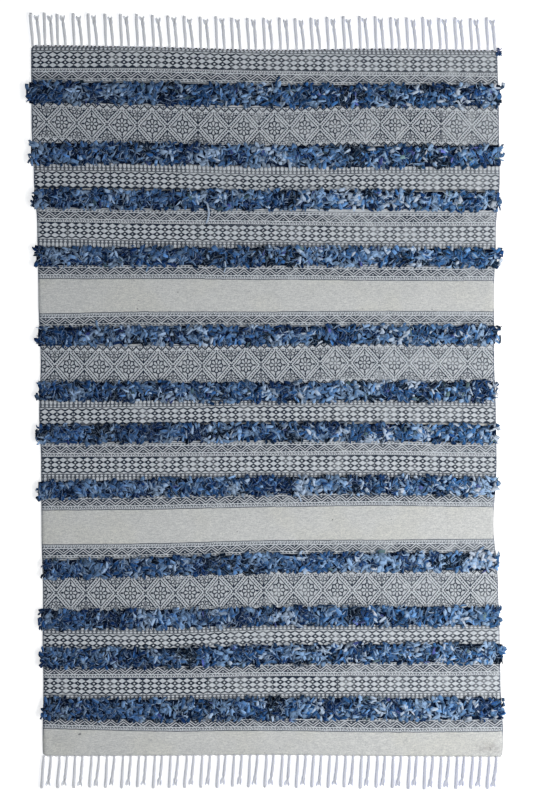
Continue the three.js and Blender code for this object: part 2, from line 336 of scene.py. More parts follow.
# Each block's size, from one stamp's edge to the next, and the repeats that are cut in it. The
# joint is how dark its stamps' edges print, the load how much ink it carries, and the fall how
# much less of it is left at the rug's right side than at its left one.
LOZENGE = {"stamp": 170.4, "pitch": 21.3, "row": 13.3, "joint": 0.95, "load": 1.0, "fall": 0.26}
ZIGZAG = {"stamp": 170.0, "pitch": 34.0, "joint": 0.25, "load": 1.1, "fall": 0.38}
MEDALLION = {"stamp": 156.0, "pitch": 78.0, "tooth": 19.6, "joint": 0.8, "load": 1.1, "fall": 0.38}
BLOCKS = {"lozenge": LOZENGE, "zigzag": ZIGZAG, "medallion": MEDALLION}

cloth_faces, cloth_uvs, cloth_slots = [], [], []
from_middle = (columns - 0.5) * CLOTH_WIDTH
for i in range(rows - 1):
    n = band_at((lines[i] + lines[i + 1]) / 2)
    band = None if n is None else PRINTED_BANDS[n]
    slot = 0 if band is None else CLOTH_FINISHES.index(band["block"])
    u, v = from_middle, cloth_y[i:i + 2]
    if band:
        # Each band counts its own stamps, so that no two bands slip and print alike.
        u = u - band["start"] + STAMPS_A_BAND * (n + 1) * BLOCKS[band["block"]]["stamp"]
        v = (v - across(FOOT_LINES[n], columns)) * band["faces"]
    for j in range(wide - 1):
        above = [number[i, j], number[i + 1, j], number[i + 1, j + 1], number[i, j + 1]]
        below = [k + rows * wide for k in reversed(above)]
        marks = [(u[j], v[0, j]), (u[j], v[1, j]), (u[j + 1], v[1, j + 1]), (u[j + 1], v[0, j + 1])]
        cloth_faces += [above, below]
        cloth_uvs += marks + marks[::-1]
        cloth_slots += [slot, 0]
first_edge = 2 * rows * wide
for k, here in enumerate(rim):
    after = (k + 1) % len(rim)
    there = rim[after]
    for quad in (
        (here, first_edge + k, first_edge + after, there),
        (first_edge + k, here + rows * wide, there + rows * wide, first_edge + after),
    ):
        cloth_faces.append(quad)
        cloth_slots.append(0)
        for point in quad:
            x, y, _ = cloth_points[point] / MM
            cloth_uvs.append((x, y))


def lay_map(mesh, name, places):
    """Lays a map on a mesh, given the place of each of the mesh's points on it."""
    corners = np.zeros(len(mesh.loops), np.int32)
    mesh.loops.foreach_get("vertex_index", corners)
    mesh.uv_layers.new(name=name).data.foreach_set("uv", places[corners].ravel())


cloth_mesh = bpy.data.meshes.new("ground_cloth_woven")
cloth_mesh.from_pydata(cloth_points.tolist(), [], [tuple(map(int, face)) for face in cloth_faces])
cloth_mesh.uv_layers.new(name="stamps").data.foreach_set("uv", np.array(cloth_uvs).ravel() * MM)
sheet_place = np.stack([(t_grid - 0.5) * CLOTH_WIDTH, y_grid], -1).reshape(-1, 2) * MM
lay_map(cloth_mesh, "sheet", np.concatenate([sheet_place, sheet_place, sheet_place[rim]]))
cloth_mesh.polygons.foreach_set("material_index", cloth_slots)
cloth_mesh.polygons.foreach_set("use_smooth", [True] * len(cloth_faces))
cloth_mesh.update()
cloth = bpy.data.objects.new("ground_cloth_woven", cloth_mesh)
bpy.context.collection.objects.link(cloth)


class Reading:
    """A number read off a surface, which its material's nodes work out at every point."""

    def __init__(self, socket):
        self.socket = socket
        self.tree = socket.id_data

    def put(self, node, values):
        for slot, value in zip(node.inputs, values):
            if isinstance(value, Reading):
                self.tree.links.new(value.socket, slot)
            elif value is not None:
                slot.default_value = value

    def work(self, operation, *others):
        node = self.tree.nodes.new("ShaderNodeMath")
        node.operation = operation
        self.put(node, (self, *others))
        return Reading(node.outputs[0])

    def __add__(self, other):
        return self.work("ADD", other)

    def __sub__(self, other):
        return self.work("SUBTRACT", other)

    def __mul__(self, other):
        return self.work("MULTIPLY", other)

    def __truediv__(self, other):
        return self.work("DIVIDE", other)

    def flipped(self):
        return (self * -1.0) + 1.0

    def size(self):
        return self.work("ABSOLUTE")

    def part(self):
        return self.work("FRACT")

    def whole(self):
        return self.work("FLOOR")

    def most(self, other):
        return self.work("MAXIMUM", other)

    def least(self, other):
        return self.work("MINIMUM", other)

    def over(self, edge, soft):
        """0 below the edge and 1 above it, with a soft step between."""
        node = self.tree.nodes.new("ShaderNodeMapRange")
        node.interpolation_type = "SMOOTHSTEP"
        self.tree.links.new(self.socket, node.inputs["Value"])
        node.inputs["From Min"].default_value = edge - soft
        node.inputs["From Max"].default_value = edge + soft
        return Reading(node.outputs["Result"])

    def line(self, middle, half, soft):
        """1 within half of a middle value, and 0 away from it."""
        return (self - middle).size().over(half, soft).flipped()

    def swing(self, pitch):
        """How far along a repeat from its middle, from 0 at the middle to 1 at its ends."""
        return ((self / pitch).part() - 0.5).size() * 2.0


def spots(tree, coordinates, scale, detail=2.0, roughness=0.5, name="Fac"):
    """A soft random reading from 0 to 1, in blots of about 1 / scale metres."""
    node = tree.nodes.new("ShaderNodeTexNoise")
    node.inputs["Scale"].default_value = scale
    node.inputs["Detail"].default_value = detail
    node.inputs["Roughness"].default_value = roughness
    tree.links.new(coordinates, node.inputs["Vector"])
    return Reading(node.outputs[name])


def blended(tree, share, under, over):
    """The colour under, turned into the colour over by the share. Each is a socket or a colour."""
    node = tree.nodes.new("ShaderNodeMix")
    node.data_type = "RGBA"
    if isinstance(share, Reading):
        tree.links.new(share.socket, node.inputs[0])
    else:
        node.inputs[0].default_value = share
    for slot, colour in ((node.inputs[6], under), (node.inputs[7], over)):
        if isinstance(colour, bpy.types.NodeSocket):
            tree.links.new(colour, slot)
        else:
            slot.default_value = (*colour, 1)
    return node.outputs[2]


def map_readings(tree, name):
    """How far along and how far up a point lies on one of its mesh's maps."""
    laid = tree.nodes.new("ShaderNodeUVMap")
    laid.uv_map = name
    split = tree.nodes.new("ShaderNodeSeparateXYZ")
    tree.links.new(laid.outputs["UV"], split.inputs[0])
    return Reading(split.outputs["X"]), Reading(split.outputs["Y"])


def raise_yarns(shader, height, depth):
    """Makes the surface rise and fall with a reading, by about depth metres."""
    tree = shader.id_data
    bump = tree.nodes.new("ShaderNodeBump")
    bump.inputs["Strength"].default_value = 0.5
    bump.inputs["Distance"].default_value = depth
    tree.links.new(height.socket, bump.inputs["Height"])
    tree.links.new(bump.outputs["Normal"], shader.inputs["Normal"])


def srgb(red, green, blue):
    """A colour as a paint card gives it, from 0 to 255, in the renderer's own units."""
    shares = [c / 255 for c in (red, green, blue)]
    return tuple(c / 12.92 if c < 0.04045 else ((c + 0.055) / 1.055) ** 2.4 for c in shares)


def spot(side, height, half_width, half_height, soft=0.3):
    """1 within an ellipse, and 0 outside it."""
    x, y = side / half_width, height / half_height
    return (x * x + y * y).over(1.0, soft).flipped()


# What each block prints, at u millimetres along the band and v up from its foot line. The numbers
# are the motifs' places and sizes in millimetres, or their shares of a repeat.
def lozenge_ink(u, v):
    """Three rows of lozenges, with an eye between each four, under scallops and a row of leaves."""
    half, half_row = LOZENGE["pitch"] / 2, LOZENGE["row"] / 2
    aside = u.swing(LOZENGE["pitch"])
    row = (v - 0.6).swing(LOZENGE["row"])
    around = (aside * 1.05 + row * 1.13).over(1.03, 0.11)
    pupil = spot((aside - 1.0) * half, (row - 1.0) * half_row, 2.7, 2.2)
    pupil = pupil * v.over(8.0, 1.0) * v.over(34.0, 1.0).flipped()
    arc = v + aside * 3.8
    grid = around * pupil.flipped() * arc.over(41.4, 0.5).flipped()
    foot = v.line(0.0, 1.1, 0.4)
    scallop = arc.line(41.6, 1.4, 0.5)
    ground = v.over(43.6, 0.6) * 0.84
    bud = spot((aside - 0.5) * half, v - 48.4, 3.3, 2.6)
    leaf = spot((aside - 0.5) * half, v - 58.6, 3.9, 6.2)
    leaves = ground * bud.flipped() * leaf.flipped()
    printed = v.over(-1.2, 0.4)
    return grid.most(scallop).most(leaves).most(foot) * printed, printed


def zigzag_ink(u, v):
    """Two light zigzags side by side, dark corners with a dot in each, and dashes along the edges."""
    half = ZIGZAG["pitch"] / 2
    turn = u.swing(ZIGZAG["pitch"])
    away = (v - 18.8 - (turn - 0.5) * 12.2).size()
    bands = away.line(0.0, 1.8, 0.4).most(away.over(4.6, 0.4))
    dots = spot(turn * half, v - 24.2, 2.2, 1.4).most(spot((turn - 1.0) * half, v - 14.2, 2.2, 1.4))
    field = v.over(11.0, 0.4) * v.over(27.8, 0.4).flipped()
    foot = v.line(0.0, 1.1, 0.4)
    dashes = (u + v).swing(8.8).over(0.32, 0.2) * v.line(7.0, 1.4, 0.5)
    nicks = u.swing(5.9).over(0.5, 0.2) * v.line(3.6, 1.0, 0.4)
    far_dashes = (u - v).swing(9.2).over(0.4, 0.2) * v.line(31.4, 1.5, 0.5)
    edge = v.line(36.0, 1.1, 0.5) * 0.8
    lines = foot.most(dashes).most(nicks).most(far_dashes).most(edge)
    printed = v.over(-1.2, 0.4)
    return (bands * field * dots.flipped()).most(lines) * printed * 0.95, printed


def flower(side, height, reach):
    """Eight light petals round an eye, cut out of the ink, and the room that the flower fills."""
    share = (side * side + height * height).work("SQRT") / reach
    turn = height.work("ARCTAN2", side)
    swell = (turn * 4.0).work("COSINE").size()
    petal = swell.over(0.56, 0.14) * (share - swell * 0.16).over(0.68, 0.07).flipped()
    petal = petal * share.over(0.32, 0.06)
    eye = share.over(0.17, 0.05).flipped()
    room = (share - swell * 0.16).over(0.88, 0.05).flipped()
    return room * petal.flipped() * eye.flipped(), room


def medallion_ink(u, v):
    """Crossed straps, a flower with seeds in each lozenge between them, and a toothed border."""
    half = MEDALLION["pitch"] / 2
    side = ((u / MEDALLION["pitch"]).part() - 0.5).size() * MEDALLION["pitch"]
    level = v.size()
    far = side * 1.13 + level
    strap = far - 44.1
    dashes = (side - level).swing(8.4).over(0.3, 0.2) * strap.line(0.0, 2.8, 0.6)
    bars = strap.line(5.8, 2.1, 0.5).most(strap.line(-5.8, 2.1, 0.5))
    rims = strap.line(9.9, 2.4, 0.5).most(strap.line(-9.6, 1.8, 0.5))
    stem = side.line(0.0, 0.8, 0.3) * level.over(20.0, 0.6)
    bloom, bloom_room = flower(side, level / 1.12, 17.6)
    seeds = spot(side - 22.4, level, 4.4, 2.6).most(spot(side, level - 24.6, 2.4, 4.2))
    seeds = seeds.most(spot(side - 13.0, level - 14.4, 2.1, 2.1))
    inside = bloom.most(seeds * bloom_room.flipped()) * far.over(32.4, 0.5).flipped()
    fan, fan_room = flower(side - half, level - 35.0, 14.0)
    drops = spot(side - half, level - 15.6, 2.0, 3.6).most(spot(side - half + 18.2, level - 34.6, 3.8, 1.9))
    drops = drops.most(spot(side - half + 10.4, level - 25.2, 2.2, 2.0))
    beyond = fan.most(drops * fan_room.flipped()) * far.over(55.0, 0.5)
    beyond = beyond.most((side - half).line(0.0, 1.0, 0.3) * level.over(8.0, 0.5) * 0.8)
    knot = spot(side - half, level, 1.3, 2.6)
    field = level.over(37.6, 0.4).flipped()
    dots = u.swing(6.55).over(0.4, 0.2) * level.line(39.4, 1.3, 0.4)
    along_tooth = u.swing(MEDALLION["tooth"])
    tooth = along_tooth - (level - 42.6) / 9.6
    teeth = tooth.line(0.0, 0.24, 0.06) * level.over(41.6, 0.4)
    nibs = spot(along_tooth * (MEDALLION["tooth"] / 2), level - 49.0, 1.7, 2.6)
    edges = level.line(54.6, 0.9, 0.4)
    wash = bars.flipped() * 0.1
    pattern = dashes.most(rims).most(stem).most(inside).most(beyond).most(knot).most(wash)
    pattern = (pattern * field).most(dots)
    return pattern.most(teeth).most(nibs).most(edges), level.over(58.0, 0.5).flipped()


COTTON_COLOUR = srgb(229, 230, 228)
PRINT_GROUND = srgb(215, 222, 231)
WEFT_SPACE = 1.9
WARP_SPACE = 2.6
SIDE_CORD = 3.0
GREY_PATCH = {"x": 562.0, "y": -898.0, "half_width": 40.0, "half_height": 17.0}


def cotton_cloth(name, block=None, ink=None):
    """Flat-woven cotton, printed with a block's ink where one is given."""
    material = bpy.data.materials.new(name)
    material.use_nodes = True
    tree = material.node_tree
    shader = tree.nodes["Principled BSDF"]
    shader.inputs["Roughness"].default_value = 0.93
    shader.inputs["Specular IOR Level"].default_value = 0.2
    shader.inputs["Sheen Weight"].default_value = 0.08
    shader.inputs["Sheen Roughness"].default_value = 0.6
    place = tree.nodes.new("ShaderNodeTexCoord").outputs["Object"]
    u, v = (reading * (1 / MM) for reading in map_readings(tree, "stamps"))
    over_sheet, up_sheet = (reading * (1 / MM) for reading in map_readings(tree, "sheet"))

    slub_map = tree.nodes.new("ShaderNodeMapping")
    slub_map.inputs["Scale"].default_value = (1, 5, 1)
    tree.links.new(place, slub_map.inputs["Vector"])
    slub = spots(tree, slub_map.outputs["Vector"], 55, 2, 0.6).over(0.74, 0.05)
    shade = spots(tree, place, 9, 3, 0.6)
    colour = blended(tree, shade * 0.5, COTTON_COLOUR, srgb(212, 214, 213))
    warm = spots(tree, place, 7, 2, 0.5).over(0.55, 0.1)
    colour = blended(tree, warm * 0.35, colour, srgb(226, 225, 213))
    grain = spots(tree, slub_map.outputs["Vector"], 100, 4, 0.85)
    colour = blended(tree, grain.over(0.5, 0.12) * 0.52, colour, srgb(164, 168, 172))
    speckle = spots(tree, place, 330, 2, 0.7)
    colour = blended(tree, speckle.over(0.54, 0.1) * 0.34, colour, srgb(146, 150, 156))
    colour = blended(tree, slub * 0.55, colour, srgb(128, 133, 148))
    mote = spots(tree, place, 95, 1, 0.5).over(0.80, 0.03)
    colour = blended(tree, mote * 0.8, colour, srgb(70, 74, 84))

    if ink:
        stamp = block["stamp"]
        stamp_number = (u / stamp).whole()
        chance = tree.nodes.new("ShaderNodeTexWhiteNoise")
        chance.noise_dimensions = "1D"
        tree.links.new(stamp_number.socket, chance.inputs["W"])
        drawn = tree.nodes.new("ShaderNodeSeparateColor")
        tree.links.new(chance.outputs["Color"], drawn.inputs[0])
        slip_along, slip_up, slant = (Reading(socket) for socket in drawn.outputs)
        inking = Reading(chance.outputs["Value"])
        in_stamp = u - stamp_number * stamp
        wander = spots(tree, place, 28, 4, 0.8, "Color")
        wander_parts = tree.nodes.new("ShaderNodeSeparateColor")
        tree.links.new(wander.socket, wander_parts.inputs[0])
        bend_u = (Reading(wander_parts.outputs[0]) - 0.5) * 3.6
        bend_v = (Reading(wander_parts.outputs[1]) - 0.5) * 3.6
        tilt = (in_stamp - stamp / 2) * ((slant - 0.5) * 0.010)
        local_u = in_stamp + (slip_along - 0.5) * 2.6 + bend_u
        local_v = v + (slip_up - 0.5) * 1.2 + tilt + bend_v
        pattern, printed = ink(local_u, local_v)
        joint = in_stamp.line(0.0, 1.5, 0.9).most(in_stamp.line(stamp, 1.2, 0.9))
        pattern = pattern.most(joint * printed * (inking * block["joint"]))
        load = spots(tree, place, 24, 3, 0.7).over(0.4, 0.17)
        fall = over_sheet * (block["fall"] / CLOTH_WIDTH)
        strength = ((load * 0.4 + 0.52 + inking * 0.14 - fall) * block["load"]).least(1.0)
        patchy = spots(tree, place, 420, 2, 0.7) * 0.4 + 0.82
        share = (pattern * strength * patchy).least(1.0)
        stain = blended(tree, spots(tree, place, 21, 2, 0.6), srgb(14, 34, 48), srgb(26, 40, 66))
        ground = blended(tree, printed * 0.7, colour, PRINT_GROUND)
        haze = spots(tree, place, 150, 3, 0.8).over(0.52, 0.15) * printed * 0.24
        ground = blended(tree, haze, ground, srgb(110, 128, 146))
        colour = blended(tree, share, ground, stain)

    side_cord = over_sheet.size().over(CLOTH_WIDTH / 2 - SIDE_CORD, 1.6)
    colour = blended(tree, side_cord * (0.55 if ink else 0.2), colour, srgb(88, 98, 120))
    # A soft, blotchy grey patch near the bottom right corner of the cloth.
    patch_x, patch_y = over_sheet - GREY_PATCH["x"], up_sheet - GREY_PATCH["y"]
    grey_patch = spot(patch_x, patch_y, GREY_PATCH["half_width"], GREY_PATCH["half_height"], 0.95)
    grey_patch = grey_patch * spots(tree, place, 75, 3, 0.7).over(0.5, 0.14)
    colour = blended(tree, grey_patch * 0.38, colour, srgb(144, 140, 140))
    wefts = up_sheet.swing(WEFT_SPACE)
    warps = (over_sheet + (up_sheet / WEFT_SPACE).whole() * (WARP_SPACE / 2)).swing(WARP_SPACE)
    weave = (wefts * wefts * 0.6 + warps * 0.4).flipped()
    weave_shade = weave.over(0.25, 0.25).flipped() * 0.16
    colour = blended(tree, weave_shade, colour, srgb(96, 102, 110))
    tree.links.new(colour, shader.inputs["Base Color"])
    raise_yarns(shader, weave + spots(tree, place, 900, 1, 0.5) * 0.4 + slub * 0.6, 0.0006)
    return material


cloth_mesh.materials.append(cotton_cloth("natural_cotton"))
cloth_mesh.materials.append(cotton_cloth("lozenge_printed_cotton", LOZENGE, lozenge_ink))
cloth_mesh.materials.append(cotton_cloth("zigzag_printed_cotton", ZIGZAG, zigzag_ink))
cloth_mesh.materials.append(cotton_cloth("medallion_printed_cotton", MEDALLION, medallion_ink))
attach(cloth, "root")
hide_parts("ground_cloth")

# Shag rows: short strips cut from old denim, knotted into the cloth a few at a time, so that both
# ends of each stand up and fall any way. Under them lies a bank of knots. Each knot's strips come
# from one piece of denim, and often its neighbour's too.
DENIM_DYES = [
    {"name": "raw_indigo", "dye": srgb(18, 47, 90), "share": 0.16},
    {"name": "dark_blue", "dye": srgb(42, 82, 130), "share": 0.19},
    {"name": "mid_blue", "dye": srgb(82, 119, 165), "share": 0.22},
    {"name": "washed", "dye": srgb(132, 162, 199), "share": 0.18},
    {"name": "faded", "dye": srgb(182, 200, 224), "share": 0.12},
    {"name": "bleached", "dye": srgb(208, 218, 234), "share": 0.03},
    {"name": "black", "dye": srgb(12, 28, 46), "share": 0.06},
    {"name": "grey_green", "dye": srgb(84, 108, 114), "share": 0.03},
    {"name": "violet", "dye": srgb(76, 86, 154), "share": 0.03},
]
KNOTS_A_ROW = 309
KNOT_LANES = 3
ROW_END = 8
STRIPS_A_KNOT = 5
STRIP_RINGS = 5
STRIP_THICKNESS = 0.9
STRIP_LENGTHS = (11, 24)
STRIP_WIDTHS = (4.0, 10.4)
THREAD_SHARE = 0.12
THREAD_LENGTHS = (13, 26)
THREAD_WIDTHS = (1.2, 2.2)
THREAD_PALE = np.array(srgb(182, 204, 232))
SAME_DENIM = 0.6
STRAY_DENIM = 0.28
COMMON_DENIM = 0.055
# Painted shade and painted light: the strips' dyes are painted darker deep in the pile and lighter near its
# top.
DEEP_PAINTED_SHADE = 0.32
TOP_PAINTED_LIGHT = 1.3
PALEST_DYE = 0.86
DUSTY_DYE = (0.88, 0.93, 0.97)
DYE_SPREAD = 0.34
# Painted light: how much the dyes grow, channel by channel, towards the rug's right side, where the key
# light stands; they are painted darker towards the left.
PAINTED_LIGHT_TO_THE_RIGHT = (0.72, 0.58, 0.44)
ROW_FLOOR = CLOTH_THICKNESS + CLEARANCE
BANK_HEIGHT = 5.5
PILE_HEIGHT = 15.0
KEPT_PAST_A_SIDE = 0.22
DRAWN_IN_AT_AN_END = 0.75
LOOSE_STRIPS = [
    {"row": 1, "start": (26, 815), "end": (36, 843), "width": 4, "dye": "dark_blue"},
    {"row": 3, "start": (-153, 512), "end": (-156, 461), "width": 5, "dye": "faded"},
    {"row": 4, "start": (-309, 366), "end": (-312, 336), "width": 5, "dye": "washed"},
    {"row": 4, "start": (-107, 362), "end": (-110, 334), "width": 4, "dye": "faded"},
    {"row": 5, "start": (-430, 182), "end": (-441, 209), "width": 6, "dye": "washed"},
    {"row": 8, "start": (74, -238), "end": (91, -262), "width": 5, "dye": "faded"},
    {"row": 8, "start": (308, -224), "end": (336, -252), "width": 4, "dye": "bleached"},
    {"row": 9, "start": (545, -406), "end": (567, -380), "width": 5, "dye": "washed"},
]
LOOSE_ROOT = 11.0
LOOSE_TIP = 1.4


def row_middle(row, x):
    """The row's middle line, at a place across the rug."""
    y = np.array(float(row["y"][2]))
    left, right = selvedge("left", y), selvedge("right", y)
    return across(row["y"], (x - left) / (right - left))


def directions(paths):
    """Which way each path runs at each of its points."""
    runs = np.gradient(paths, axis=1)
    return runs / np.linalg.norm(runs, axis=2, keepdims=True)


def lengths_along(paths):
    """How far along its path each point lies, in metres."""
    steps = np.linalg.norm(np.diff(paths, axis=1), axis=2)
    return np.concatenate([np.zeros((len(paths), 1)), np.cumsum(steps, 1)], 1)[..., None] * MM


def walls(rings, sides):
    """The faces between the rings of a skin whose rings have so many sides."""
    faces = []
    for ring in range(rings - 1):
        for k in range(sides):
            a, b = ring * sides + k, ring * sides + (k + 1) % sides
            faces.append((a, b, b + sides, a + sides))
    return faces


def ends(rings, sides):
    """The two faces that close such a skin."""
    last = (rings - 1) * sides
    return [tuple(range(sides - 1, -1, -1)), tuple(range(last, last + sides))]


def strips(path, roll, width):
    """Thin four-sided strips of denim along lines of points, with each corner's place on its strip."""
    count, rings, _ = path.shape
    tangent = directions(path)
    aside = np.cross((0, 0, 1.0), tangent)
    aside /= np.linalg.norm(aside, axis=2, keepdims=True) + 1e-9
    above = np.cross(tangent, aside)
    broad = aside * np.cos(roll)[..., None] + above * np.sin(roll)[..., None]
    thin = np.cross(tangent, broad) * (STRIP_THICKNESS / 2)
    broad = broad * (width / 2)[..., None]
    corners = [path - broad - thin, path + broad - thin, path + broad + thin, path - broad + thin]
    points = np.stack(corners, 2)
    one_strip = np.array(walls(rings, 4) + ends(rings, 4))
    faces = one_strip[None] + (np.arange(count) * rings * 4)[:, None, None]
    side = np.array([0.0, 1.0, 1.0, 0.0]) * np.ones((count, rings, 1))
    places = np.stack([side, lengths_along(path) * np.ones(4)], -1)
    return points.reshape(-1, 3), faces.reshape(-1, 4), places.reshape(-1, 2)


def shaded(path, dyes):
    """Each ring's colour: the strips are painted darker where they lie deep in the pile and lighter near
    its top, a painted shade and a painted light.
    """
    depth = eased((path[..., 2] - ROW_FLOOR - 2.0) / 10.0)
    dyes = dyes[:, None] * (DEEP_PAINTED_SHADE + (TOP_PAINTED_LIGHT - DEEP_PAINTED_SHADE) * depth)[..., None]
    return dyes * np.minimum(1, PALEST_DYE / dyes.max(-1, keepdims=True))


def knots(row, draw):
    """Where the row's knots stand, and which denim each is tied from."""
    half = row["depth"] / 2
    lanes = np.arange(KNOTS_A_ROW) % KNOT_LANES
    x = np.linspace(row["left"] + ROW_END, row["right"] - ROW_END, KNOTS_A_ROW)
    x = x + draw.normal(0, 2.0, KNOTS_A_ROW)
    off = ((lanes - 1) * 0.56 + draw.normal(0, 0.13, KNOTS_A_ROW)) * half
    shares = np.array([dye["share"] if dye["share"] > COMMON_DENIM else 0 for dye in DENIM_DYES])
    picked = draw.choice(len(DENIM_DYES), KNOTS_A_ROW, p=shares / shares.sum())
    for k in range(KNOT_LANES, KNOTS_A_ROW):
        if draw.random() < SAME_DENIM:
            picked[k] = picked[k - KNOT_LANES if draw.random() < 0.7 else k - 1]
    return x, off, picked


def clippings(row, draw):
    """The lines that a row's strips follow, from their knots up, over and down, and their dyes."""
    half = row["depth"] / 2
    knot_x, knot_off, picked = knots(row, draw)
    count = KNOTS_A_ROW * STRIPS_A_KNOT
    x = np.repeat(knot_x, STRIPS_A_KNOT) + draw.normal(0, 3.0, count)
    off = np.repeat(knot_off, STRIPS_A_KNOT) + draw.normal(0, 2.5, count)
    thread = draw.random(count) < THREAD_SHARE
    y = row_middle(row, x) + off
    turn = draw.uniform(0, math.tau, count)
    curl = draw.normal(0, 0.3, count) + np.where(thread, draw.normal(0, 1.4, count), 0)
    length = np.where(thread, draw.uniform(*THREAD_LENGTHS, count), draw.uniform(*STRIP_LENGTHS, count))
    climb = draw.uniform(0.2, 1.1, count) * (1 - 0.3 * (off / half) ** 2)
    high = BANK_HEIGHT * (1 - 0.5 * np.clip(np.abs(off) / half, 0, 1) ** 3)
    start = ROW_FLOOR + high + draw.uniform(-2.0, 4.5, count)
    s = np.linspace(0, 1, STRIP_RINGS)[None]
    heading = turn[:, None] + curl[:, None] * s
    steep = (1.1 - 2.0 * s) * climb[:, None] + draw.normal(0, 0.12, (count, STRIP_RINGS))
    step = (length / (STRIP_RINGS - 1))[:, None]
    move = [np.cos(heading) * np.cos(steep), np.sin(heading) * np.cos(steep), np.sin(steep)]
    move = np.stack(move, -1) * step[..., None]
    move[:, 0] = 0
    path = np.stack([x, y, start], -1)[:, None] + np.cumsum(move, 1)
    path[..., 2] = ROW_FLOOR + PILE_HEIGHT * np.tanh((path[..., 2] - ROW_FLOOR) / PILE_HEIGHT)
    path[..., 2] = np.maximum(path[..., 2], ROW_FLOOR + 1.2)
    middle = row_middle(row, path[..., 0])
    away = path[..., 1] - middle
    ragged = half + 0.3 + 1.5 * np.sin(path[..., 0] / 11.0) + np.sin(path[..., 0] / 4.7)
    beyond = np.maximum(np.abs(away) - ragged, 0)
    kept = np.minimum(np.abs(away), ragged) + beyond * KEPT_PAST_A_SIDE
    path[..., 1] = middle + np.sign(away) * kept
    over_right = np.maximum(path[..., 0] - row["right"] + 3, 0)
    over_left = np.maximum(row["left"] + 3 - path[..., 0], 0)
    path[..., 0] += (over_left - over_right) * DRAWN_IN_AT_AN_END
    roll = draw.normal(0, 0.45, (count, 1)) + draw.normal(0, 0.7, (count, 1)) * s
    broad = np.where(thread, draw.uniform(*THREAD_WIDTHS, count), draw.uniform(*STRIP_WIDTHS, count))
    width = broad[:, None] * np.array([0.75, 1.0, 1.0, 1.0, 0.92])[None]
    shares = np.array([dye["share"] for dye in DENIM_DYES])
    strays = draw.choice(len(DENIM_DYES), count, p=shares / shares.sum())
    picked = np.where(draw.random(count) < STRAY_DENIM, strays, np.repeat(picked, STRIPS_A_KNOT))
    dyes = np.array([dye["dye"] for dye in DENIM_DYES])[picked]
    dyes = dyes * DUSTY_DYE * np.exp(draw.normal(0, DYE_SPREAD, (count, 1)))
    # Painted light: the dyes are painted lighter towards the right side and darker towards the left, by the
    # place across the rug.
    washed = np.clip(x[:, None] / (CLOTH_WIDTH / 2), -1, 1)
    dyes = dyes * np.exp(washed * PAINTED_LIGHT_TO_THE_RIGHT)
    dyes = np.where(thread[:, None], dyes * 0.5 + THREAD_PALE * 0.5, dyes)
    return path, roll, width, shaded(path, dyes)


def loose_strips(number, draw):
    """The few long strips that have strayed from a row over the cloth, and their dyes."""
    path, width, dyes = [], [], []
    s = np.linspace(0, 1, STRIP_RINGS)
    for strip in LOOSE_STRIPS:
        if strip["row"] != number:
            continue
        start, end = np.array(strip["start"], float), np.array(strip["end"], float)
        run = end - start
        bow = np.array([-run[1], run[0]]) * 0.12
        flat = start + run * s[:, None] + bow * np.sin(s * math.pi)[:, None]
        height = ROW_FLOOR + LOOSE_ROOT * (1 - eased(s / 0.8)) + LOOSE_TIP
        path.append(np.concatenate([flat, height[:, None]], 1))
        width.append(strip["width"] * np.array([0.9, 1.0, 1.0, 1.0, 0.8]))
        dyes.append(next(dye["dye"] for dye in DENIM_DYES if dye["name"] == strip["dye"]))
    roll = draw.normal(0, 0.2, (len(path), STRIP_RINGS))
    return np.array(path), roll, np.array(width), np.repeat(np.array(dyes)[:, None], STRIP_RINGS, 1)


BANK_SPACING = 9.0
BANK_SECTION = [(0.82, 0.2), (0.88, 2.6), (0.55, 5.0), (0.0, 5.6), (-0.55, 5.0), (-0.88, 2.6), (-0.82, 0.2)]


def bank(row, draw):
    """The low bank of knots under the strips."""
    stations = np.arange(row["left"] + ROW_END, row["right"] - ROW_END + 1, BANK_SPACING)
    points = []
    for x, y in zip(stations, row_middle(row, stations)):
        for out, high in BANK_SECTION:
            bulge = 1 + draw.normal(0, 0.04)
            height = ROW_FLOOR + high * draw.uniform(0.85, 1.15)
            points.append((x, y + out * row["depth"] / 2 * bulge, height))
    count = len(BANK_SECTION)
    return np.array(points), walls(len(stations), count) + ends(len(stations), count)


def denim():
    """Worn denim: each strip has its own dye, with twill lines and pale frayed edges."""
    material = bpy.data.materials.new("worn_denim")
    material.use_nodes = True
    tree = material.node_tree
    shader = tree.nodes["Principled BSDF"]
    shader.inputs["Roughness"].default_value = 0.95
    shader.inputs["Specular IOR Level"].default_value = 0.04
    dye = tree.nodes.new("ShaderNodeAttribute")
    dye.attribute_name = "dye"
    side, along = map_readings(tree, "strip")
    along = along * (1 / MM)
    place = tree.nodes.new("ShaderNodeTexCoord").outputs["Object"]
    twill = (along + side * 5.0).swing(1.3)
    fray = (side - 0.5).size().over(0.40, 0.05) * spots(tree, place, 400, 2, 0.6).over(0.48, 0.08)
    worn = spots(tree, place, 130, 3, 0.6).over(0.60, 0.12)
    colour = blended(tree, worn * 0.13, dye.outputs["Color"], srgb(126, 160, 208))
    colour = blended(tree, twill.over(0.6, 0.2) * 0.2, colour, srgb(10, 18, 36))
    colour = blended(tree, fray * 0.36, colour, srgb(180, 202, 230))
    tree.links.new(colour, shader.inputs["Base Color"])
    raise_yarns(shader, twill + spots(tree, place, 700, 1, 0.5), 0.0004)
    return material


worn_denim = denim()
# The knots under the strips are painted near black: the denim's own dark dye, darkened further as a painted
# shade for the depth of the pile.
BANK_DYE_AND_SHADE = srgb(8, 22, 46)


